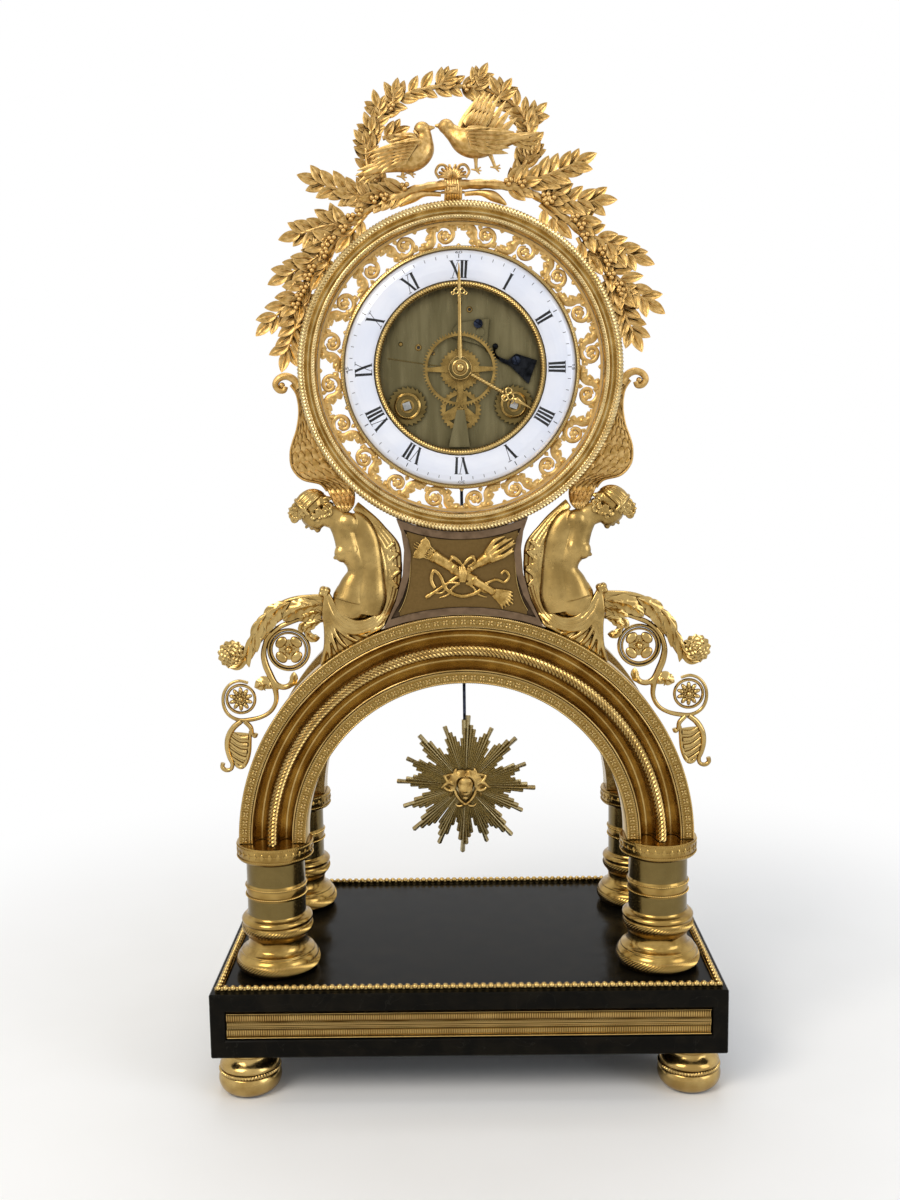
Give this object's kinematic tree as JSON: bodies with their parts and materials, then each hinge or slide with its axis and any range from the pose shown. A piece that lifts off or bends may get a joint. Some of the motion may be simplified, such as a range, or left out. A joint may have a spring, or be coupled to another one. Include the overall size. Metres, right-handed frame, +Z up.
{
  "type": "skeleton mantel clock",
  "caption": "Gilt skeleton clock on a black marble base: columns and arches carry an openwork dial, its movement, a sunburst pendulum, winged figures and a leafy wreath with doves.",
  "frame": {"origin": "on the floor under the middle of the marble base", "axes": "+Z up, -Y towards the viewer of the dial, +X to the viewer's right"},
  "size_m": [0.27, 0.1672, 0.5305],
  "materials": {
    "black_marble": "polished black marble with faint pale chips",
    "burnished_gilt": "burnished gilt bronze",
    "matte_gilt": "matte gilt bronze",
    "dark_brass": "darkened polished brass",
    "patinated_frame": "brown patina on brass",
    "plate_brass": "aged brass",
    "wheel_brass": "lacquered brass",
    "olive_bronze": "olive bronze",
    "blued_steel": "blued steel",
    "polished_steel": "polished steel",
    "bell_metal": "turned bell bronze",
    "white_enamel": "white fired enamel with black numerals"
  },
  "bodies": {
    "frame": {"marble_base": "black_marble", "foot_front_left": "burnished_gilt", "foot_front_right": "burnished_gilt", "foot_rear_left": "burnished_gilt", "foot_rear_right": "burnished_gilt", "bead_border_front": "matte_gilt", "bead_border_rear": "matte_gilt", "bead_border_left": "matte_gilt", "bead_border_right": "matte_gilt", "front_strip": "matte_gilt", "column_front_left": "dark_brass", "column_front_right": "dark_brass", "column_rear_left": "dark_brass", "column_rear_right": "dark_brass", "front_arch": "burnished_gilt", "rear_arch": "burnished_gilt", "plinth": "patinated_frame", "trophy": "matte_gilt", "figure_left": "burnished_gilt", "figure_right": "burnished_gilt", "wing_left": "matte_gilt", "wing_right": "matte_gilt", "scroll_left": "burnished_gilt", "scroll_right": "burnished_gilt", "spray_left": "matte_gilt", "spray_right": "matte_gilt", "wreath": "matte_gilt", "ribbon_knot": "matte_gilt", "dove_left": "matte_gilt", "dove_right": "matte_gilt", "bezel": "burnished_gilt", "fretted_dial_plate": "matte_gilt", "enamel_dial": "white_enamel", "dial_inner_ring": "matte_gilt", "front_plate": "plate_brass", "rear_plate": "plate_brass", "lower_cock": "plate_brass", "upper_cock": "plate_brass", "back_cock": "plate_brass", "bell": "bell_metal"},
    "minute_hand": {"minute_hand": "matte_gilt", "cannon_wheel": "wheel_brass"},
    "hour_hand": {"hour_hand": "matte_gilt", "hour_wheel": "wheel_brass"},
    "minute_wheel": {"minute_wheel": "wheel_brass"},
    "third_wheel": {"third_wheel": "wheel_brass"},
    "centre_wheel": {"centre_wheel": "wheel_brass"},
    "escape_wheel": {"escape_wheel": "wheel_brass"},
    "going_barrel": {"going_barrel": "plate_brass"},
    "strike_barrel": {"strike_barrel": "plate_brass"},
    "pin_wheel": {"pin_wheel": "wheel_brass"},
    "going_arbor": {"going_arbor": "plate_brass"},
    "strike_arbor": {"strike_arbor": "plate_brass"},
    "going_click": {"going_click": "blued_steel"},
    "strike_click": {"strike_click": "blued_steel"},
    "strike_lever": {"strike_lever": "blued_steel"},
    "pendulum": {"pendulum_rod": "blued_steel", "sunburst_bob": "olive_bronze"},
    "anchor": {"anchor_crutch": "blued_steel"},
    "hammer": {"hammer": "polished_steel"}
  },
  "joints": [
    {"name": "minute_hand_turn", "type": "hinge", "parent": "frame", "child": "minute_hand", "pos_m": [0, -0.05, 0.3803], "axis": [0, 1, 0], "continuous": true},
    {"name": "hour_hand_turn", "type": "hinge", "parent": "frame", "child": "hour_hand", "pos_m": [0, -0.05, 0.3803], "axis": [0, 1, 0], "continuous": true},
    {"name": "minute_wheel_turn", "type": "hinge", "parent": "frame", "child": "minute_wheel", "pos_m": [0, -0.042, 0.3595], "axis": [0, 1, 0], "continuous": true},
    {"name": "third_wheel_turn", "type": "hinge", "parent": "frame", "child": "third_wheel", "pos_m": [0.0144, -0.015, 0.39024], "axis": [0, 1, 0], "continuous": true},
    {"name": "centre_wheel_turn", "type": "hinge", "parent": "frame", "child": "centre_wheel", "pos_m": [0, -0.015, 0.3803], "axis": [0, 1, 0], "continuous": true},
    {"name": "escape_wheel_turn", "type": "hinge", "parent": "frame", "child": "escape_wheel", "pos_m": [0, -0.015, 0.3983], "axis": [0, 1, 0], "continuous": true},
    {"name": "going_barrel_turn", "type": "hinge", "parent": "frame", "child": "going_barrel", "pos_m": [0.0277, -0.025, 0.3619], "axis": [0, 1, 0], "continuous": true},
    {"name": "strike_barrel_turn", "type": "hinge", "parent": "frame", "child": "strike_barrel", "pos_m": [-0.0277, -0.025, 0.3619], "axis": [0, 1, 0], "continuous": true},
    {"name": "pin_wheel_turn", "type": "hinge", "parent": "frame", "child": "pin_wheel", "pos_m": [-0.03072, -0.02, 0.39387], "axis": [0, 1, 0], "continuous": true},
    {"name": "going_arbor_turn", "type": "hinge", "parent": "frame", "child": "going_arbor", "pos_m": [0.0277, -0.02, 0.3619], "axis": [0, 1, 0], "continuous": true},
    {"name": "strike_arbor_turn", "type": "hinge", "parent": "frame", "child": "strike_arbor", "pos_m": [-0.0277, -0.02, 0.3619], "axis": [0, 1, 0], "continuous": true},
    {"name": "going_click_lift", "type": "hinge", "parent": "frame", "child": "going_click", "pos_m": [0.0415, -0.04, 0.35328], "axis": [0, 1, 0], "range_deg": [0, 15]},
    {"name": "strike_click_lift", "type": "hinge", "parent": "frame", "child": "strike_click", "pos_m": [-0.0415, -0.04, 0.35328], "axis": [0, 1, 0], "range_deg": [-15, 0]},
    {"name": "strike_lever_rock", "type": "hinge", "parent": "frame", "child": "strike_lever", "pos_m": [0.029, -0.04, 0.3845], "axis": [0, 1, 0], "range_deg": [-8, 8]},
    {"name": "pendulum_swing", "type": "hinge", "parent": "frame", "child": "pendulum", "pos_m": [0, 0.012, 0.4146], "axis": [0, 1, 0], "range_deg": [-3, 3]},
    {"name": "anchor_rock", "type": "hinge", "parent": "frame", "child": "anchor", "pos_m": [0, 0.012, 0.4146], "axis": [0, 1, 0], "range_deg": [-3, 3]},
    {"name": "hammer_lift", "type": "hinge", "parent": "frame", "child": "hammer", "pos_m": [-0.03396, 0, 0.4202], "axis": [0, 1, 0], "range_deg": [-12, 0]}
  ],
  "couplings": [
    {"joint": "hour_hand_turn", "follows": "minute_hand_turn", "ratio": 0.083333},
    {"joint": "minute_wheel_turn", "follows": "minute_hand_turn", "ratio": -1},
    {"joint": "centre_wheel_turn", "follows": "third_wheel_turn", "ratio": -0.083333},
    {"joint": "escape_wheel_turn", "follows": "third_wheel_turn", "ratio": -10},
    {"joint": "going_barrel_turn", "follows": "third_wheel_turn", "ratio": 0.017361},
    {"joint": "pin_wheel_turn", "follows": "strike_barrel_turn", "ratio": -6},
    {"joint": "anchor_rock", "follows": "pendulum_swing", "ratio": 1}
  ]
}
